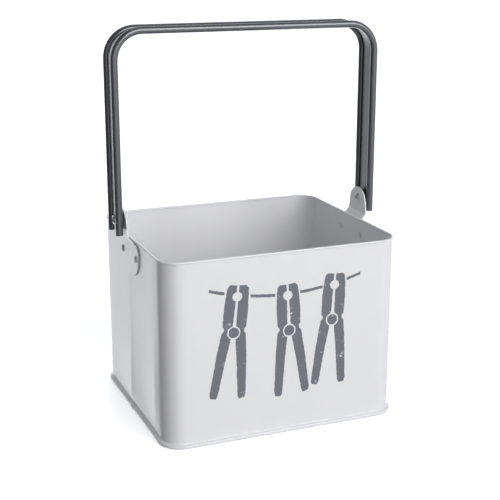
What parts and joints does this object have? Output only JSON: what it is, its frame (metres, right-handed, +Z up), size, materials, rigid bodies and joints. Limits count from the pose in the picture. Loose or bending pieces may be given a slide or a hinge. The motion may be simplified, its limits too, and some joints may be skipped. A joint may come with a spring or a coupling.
{
  "type": "metal peg caddy",
  "caption": "Open-topped sheet-metal caddy with rounded corners, a rolled rim and a swinging strap handle with rolled edges, pivoted on a riveted ear at each end.",
  "frame": {"origin": "on the floor under the middle of the box, with the handle upright", "axes": "+Z up, +X towards the right-hand ear, +Y towards the back wall, so the lap seam is on the -X wall"},
  "size_m": [0.2066, 0.16, 0.287],
  "materials": {
    "body_paint": "pale grey powder coat, satin",
    "handle_enamel": "dark gunmetal enamel, semi-gloss",
    "rivet_steel": "plated steel, semi-gloss",
    "spacer_plastic": "grey, satin"
  },
  "bodies": {
    "caddy": {"body_wrap": "body_paint", "base_pan": "body_paint", "ear_right": "body_paint", "ear_left": "body_paint", "ear_rivet_right_rear": "rivet_steel", "ear_rivet_right_front": "rivet_steel", "ear_rivet_left_rear": "rivet_steel", "ear_rivet_left_front": "rivet_steel", "pivot_rivet_right": "rivet_steel", "pivot_rivet_left": "rivet_steel", "pivot_spacer_right": "spacer_plastic", "pivot_spacer_left": "spacer_plastic"},
    "handle": {"handle_strap": "handle_enamel"}
  },
  "joints": [
    {"name": "handle_swing", "type": "hinge", "parent": "caddy", "child": "handle", "pos_m": [0, 0, 0.1502], "axis": [1, 0, 0], "range_deg": [-138.8, 138.8]}
  ]
}
